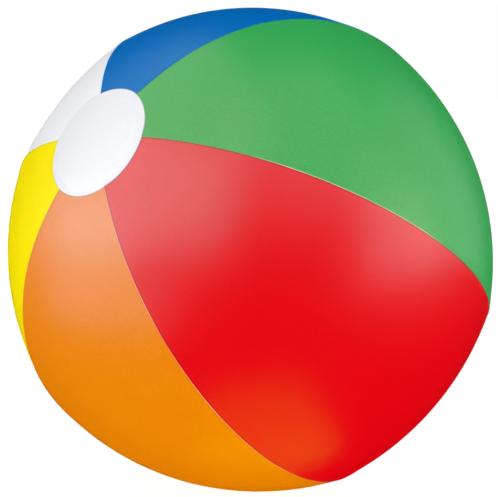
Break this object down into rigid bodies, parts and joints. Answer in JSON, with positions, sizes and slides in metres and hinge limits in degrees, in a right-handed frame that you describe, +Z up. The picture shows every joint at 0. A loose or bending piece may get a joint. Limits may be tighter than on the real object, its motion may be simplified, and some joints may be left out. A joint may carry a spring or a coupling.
{
  "type": "inflatable beach ball",
  "caption": "Inflatable beach ball of coloured film gores welded edge to edge, with a disc over each pole and a push-in inflation valve with a stopper plug.",
  "frame": {"origin": "on the floor, straight under the centre of the ball", "axes": "+Z up; +Y away from the side on which the turned-up end disc is seen, +X to the right of that side. The ball's pole axis leans 57 degrees from +Z, towards -X and -Y"},
  "size_m": [0.3832, 0.3832, 0.3831],
  "materials": {
    "vinyl_red": "satin",
    "vinyl_green": "satin",
    "vinyl_blue": "satin",
    "vinyl_white": "satin",
    "vinyl_yellow": "satin",
    "vinyl_orange": "satin",
    "disc_white": "gloss",
    "valve_vinyl": "satin"
  },
  "bodies": {
    "ball": {"gore_red": "vinyl_red", "gore_green": "vinyl_green", "gore_blue": "vinyl_blue", "gore_white": "vinyl_white", "gore_yellow": "vinyl_yellow", "gore_orange": "vinyl_orange", "end_disc_front": "disc_white", "end_disc_back": "disc_white", "valve_flange": "valve_vinyl", "valve_bellows": "valve_vinyl"},
    "valve_stem": {"valve_stem": "valve_vinyl", "plug_strap": "valve_vinyl"},
    "stopper_plug": {"stopper_plug": "valve_vinyl"},
    "check_flap": {"check_flap": "valve_vinyl"}
  },
  "joints": [
    {"name": "valve_pull", "type": "slide", "parent": "ball", "child": "valve_stem", "axis": [-0.5059, 0.7864, 0.3544], "range_m": [0, 0.013], "deforming": ["valve_bellows"]},
    {"name": "plug_swing", "type": "hinge", "parent": "valve_stem", "child": "stopper_plug", "pos_m": [-0.09171, 0.15295, 0.25479], "axis": [-0.6457, -0.0728, -0.7601], "range_deg": [0, 130], "deforming": ["plug_strap"]},
    {"name": "flap_open", "type": "hinge", "parent": "valve_stem", "child": "check_flap", "pos_m": [-0.08706, 0.14196, 0.2519], "axis": [0.6457, 0.0728, 0.7601], "range_deg": [0, 50], "stiffness_Nm_per_rad": 0.00002, "springref_deg": -28.65}
  ]
}
